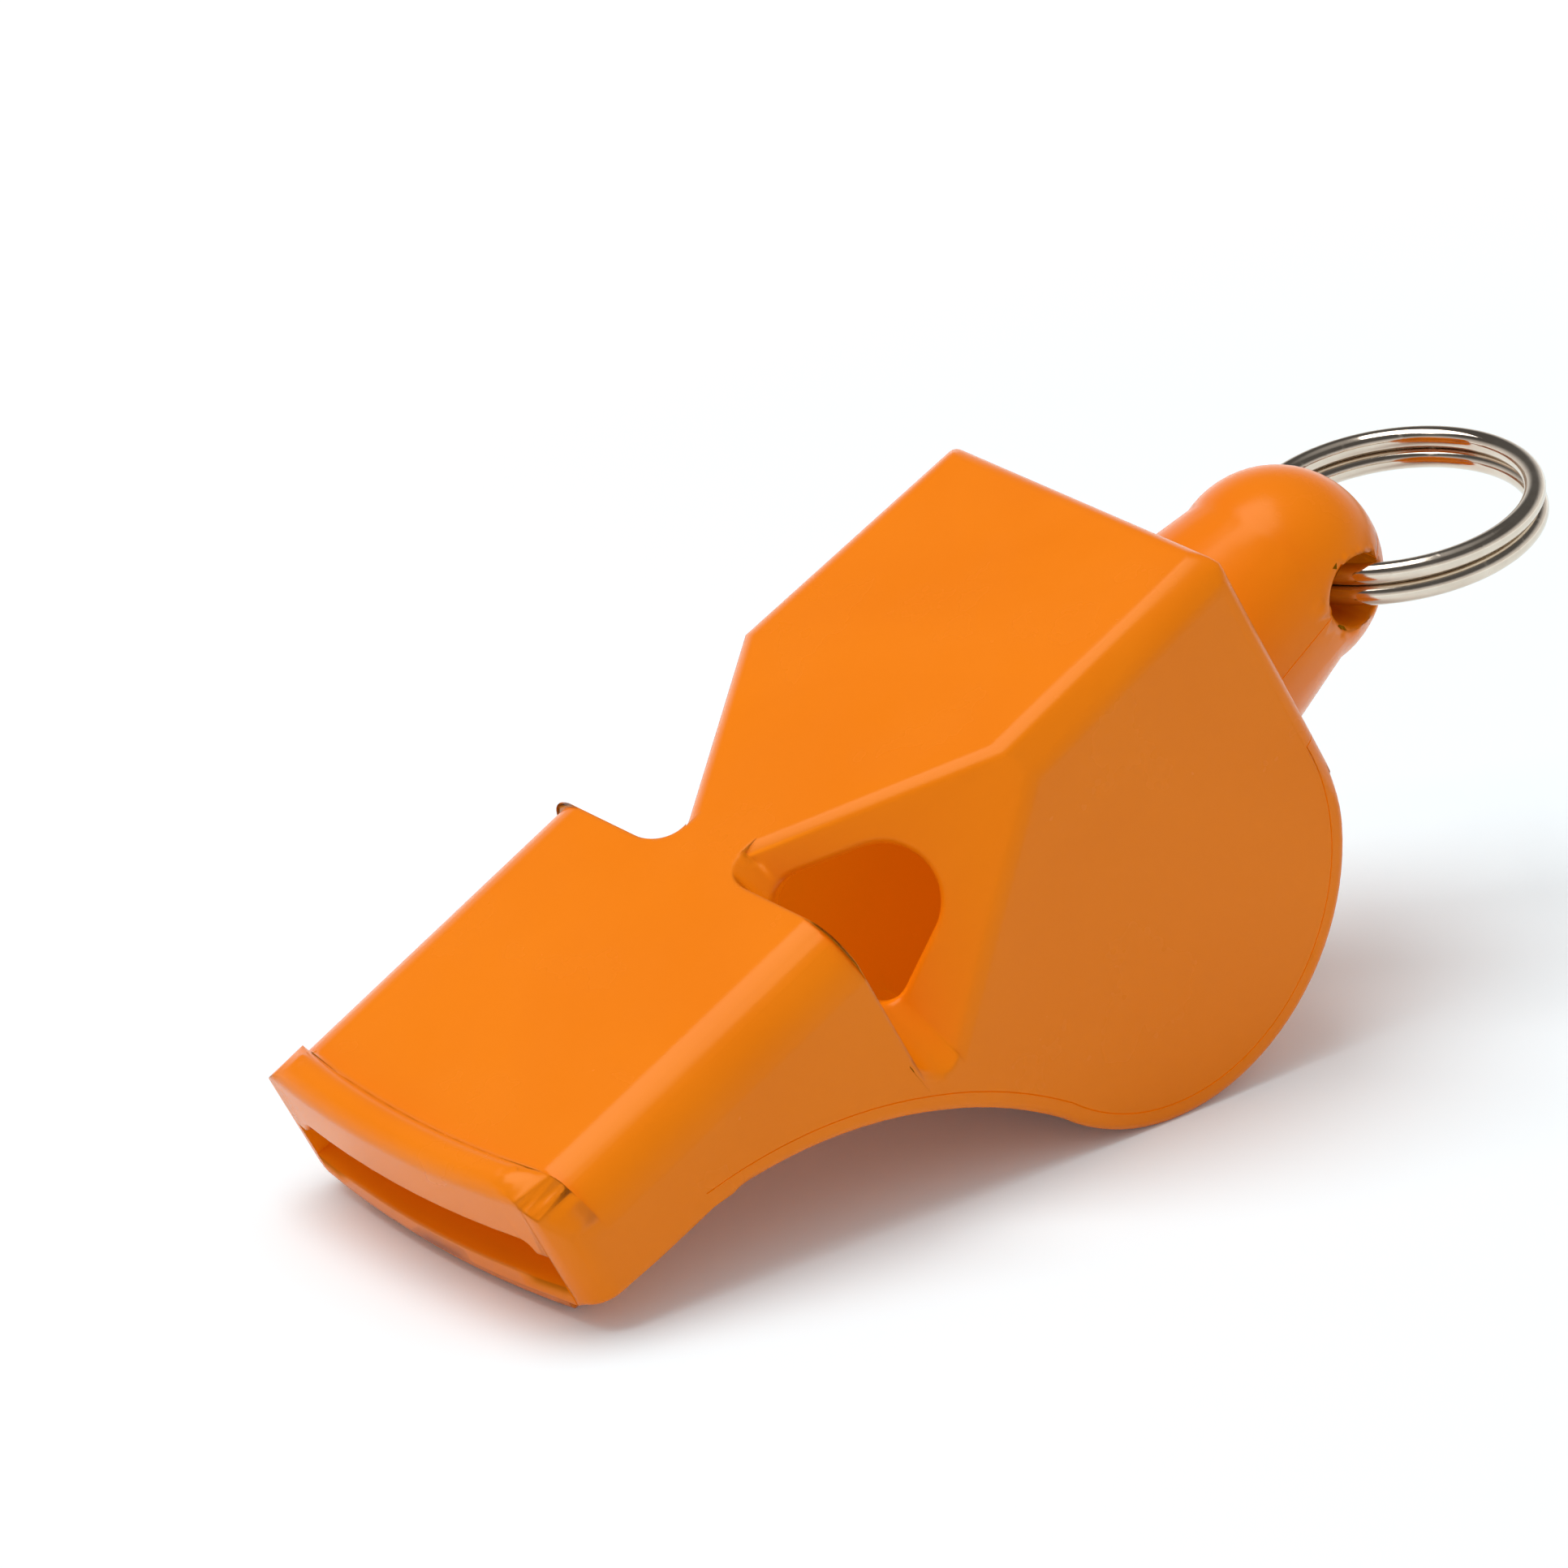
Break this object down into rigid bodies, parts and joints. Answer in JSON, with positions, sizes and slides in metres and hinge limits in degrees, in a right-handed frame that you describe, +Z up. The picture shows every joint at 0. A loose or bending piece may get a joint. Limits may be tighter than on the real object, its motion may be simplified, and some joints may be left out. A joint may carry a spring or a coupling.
{
  "type": "sports whistle",
  "caption": "Pealess sports whistle with a round belly, slanted side windows, a flat mouthpiece with tooth ridges and a split ring through a rear lug.",
  "frame": {"origin": "on the table, under the middle of the whistle with its ring laid out behind, where the whistle lies on its belly and its lower lip", "axes": "+X towards the mouthpiece, +Y to the left, +Z up"},
  "size_m": [0.0642, 0.0216, 0.0252],
  "materials": {
    "orange_plastic": "smooth semi-gloss injection-moulded ABS",
    "nickel_wire": "bright nickel-plated steel wire"
  },
  "bodies": {
    "whistle": {"upper_shell": "orange_plastic", "lower_shell": "orange_plastic"},
    "ring": {"split_ring": "nickel_wire"}
  },
  "joints": [
    {"name": "ring_swing", "type": "hinge", "parent": "whistle", "child": "ring", "pos_m": [-0.0194, 0, 0.01858], "axis": [0, 1, 0], "range_deg": [-120, 138]}
  ]
}
